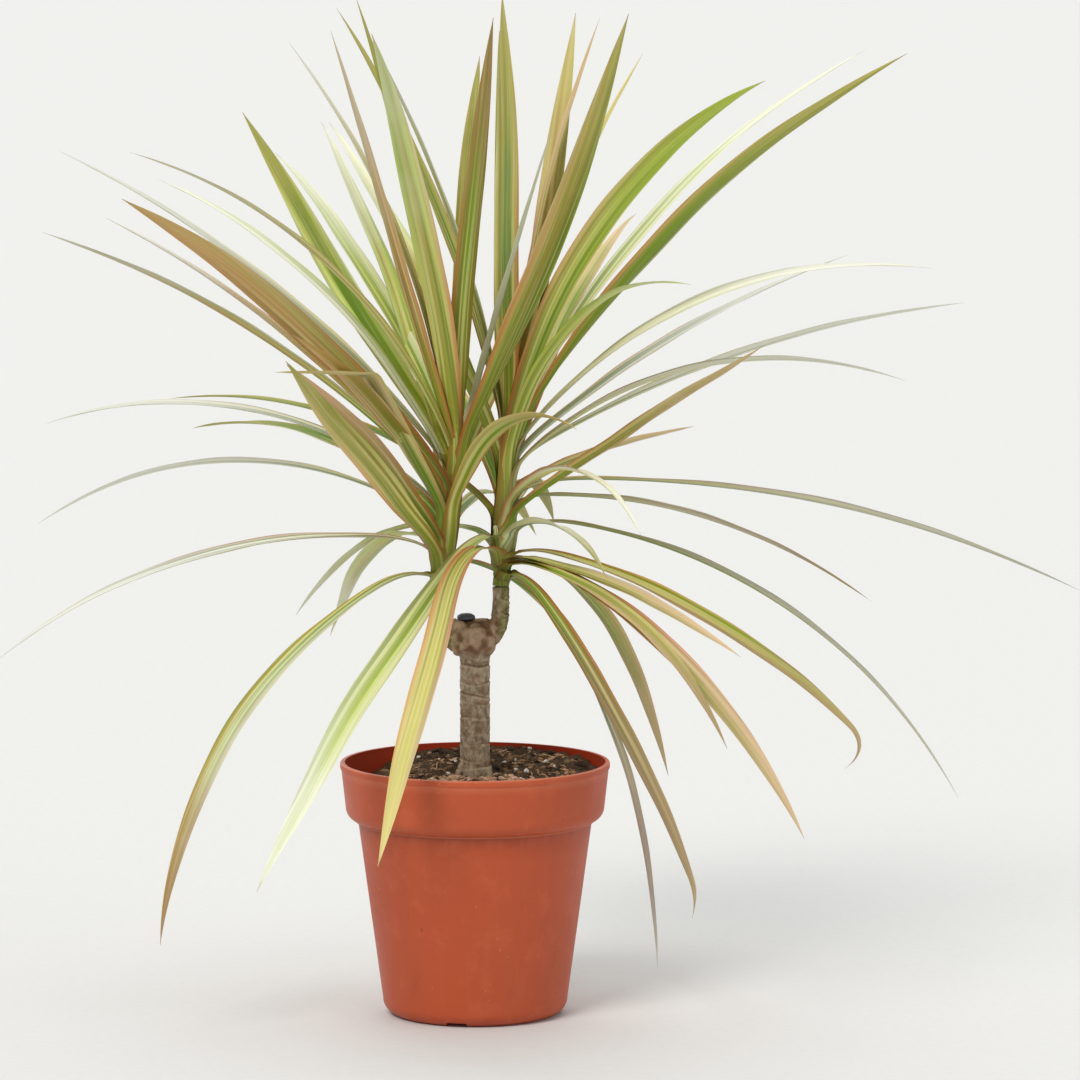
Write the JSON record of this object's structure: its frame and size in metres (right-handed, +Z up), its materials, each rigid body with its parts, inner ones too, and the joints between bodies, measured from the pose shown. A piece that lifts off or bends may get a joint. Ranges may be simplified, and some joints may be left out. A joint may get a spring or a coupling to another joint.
{
  "type": "potted dracaena marginata plant",
  "caption": "Young dragon tree in a round plastic nursery pot: a cut cane with side shoots, each with a crown of long, narrow, arching striped leaves.",
  "frame": {"origin": "centre of the pot's underside, on the surface it stands on", "axes": "+Z up along the pot's axis, +X to the right and -Y towards the viewer of the picture"},
  "size_m": [0.484, 0.404, 0.4531],
  "materials": {
    "pot": "satin",
    "soil": "matte",
    "trunk": "matte",
    "wax": "satin",
    "leaf": "satin"
  },
  "bodies": {
    "root": {"pot": "pot", "soil": "soil", "trunk": "trunk", "wax_seal": "wax", "crown_left": "leaf", "crown_right": "leaf"}
  },
  "joints": []
}
